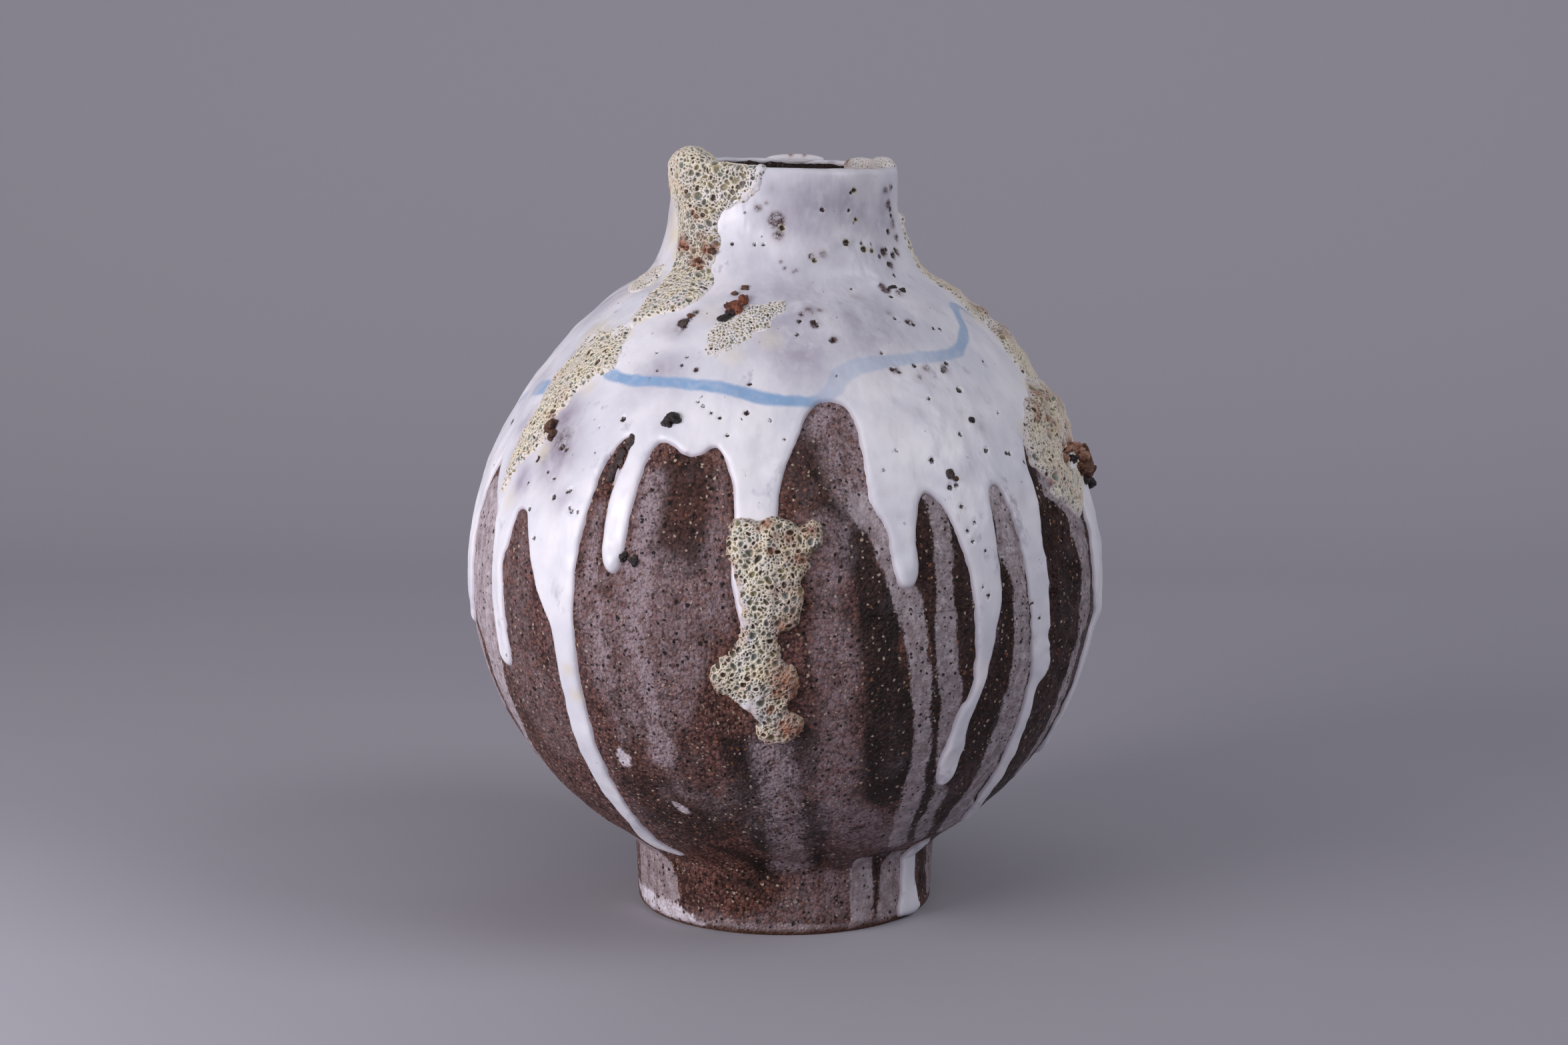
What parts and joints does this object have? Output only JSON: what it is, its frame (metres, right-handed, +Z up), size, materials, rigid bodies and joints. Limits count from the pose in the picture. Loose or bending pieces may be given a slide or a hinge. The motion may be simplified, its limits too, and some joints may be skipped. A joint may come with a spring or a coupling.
{
  "type": "jar",
  "caption": "Round-bodied stoneware jar with a short neck and high foot ring, dripping white glaze and cratered crusts.",
  "frame": {"origin": "centre of the flat base of the foot ring, on the surface that the jar stands on", "axes": "+Z up along the turning axis, -Y the front that the picture shows, +X to the right of it"},
  "size_m": [0.2732, 0.277, 0.3292],
  "materials": {
    "grogged_clay": "rough fired stoneware",
    "white_glaze": "glossy",
    "crater_crust": "rough cratered glaze",
    "fired_stone": "rough, part glassy"
  },
  "bodies": {
    "root": {"foot_ring": "grogged_clay", "lower_bowl": "grogged_clay", "upper_bowl": "grogged_clay", "neck_collar": "grogged_clay", "white_glaze_coat": "white_glaze", "right_glaze_run": "white_glaze", "foot_glaze_run": "white_glaze", "left_crust_run": "crater_crust", "left_flat_patch": "crater_crust", "front_shoulder_patch": "crater_crust", "right_crust_upper": "crater_crust", "right_rim_crust": "crater_crust", "back_rim_bump": "crater_crust", "belly_crust": "crater_crust", "right_crust_lower": "crater_crust", "black_shoulder_stone": "fired_stone", "shoulder_clinker": "fired_stone", "shoulder_pebble": "fired_stone", "left_neck_clinker": "fired_stone", "right_neck_clinker": "fired_stone", "left_shoulder_pebble": "fired_stone", "brown_shoulder_stone": "fired_stone", "right_drip_stone": "fired_stone", "right_shoulder_stone": "fired_stone", "right_shoulder_pebble": "fired_stone", "slot_chip": "fired_stone", "drip_pebble_left": "fired_stone", "drip_pebble_right": "fired_stone", "hook_clinker": "fired_stone"}
  },
  "joints": []
}
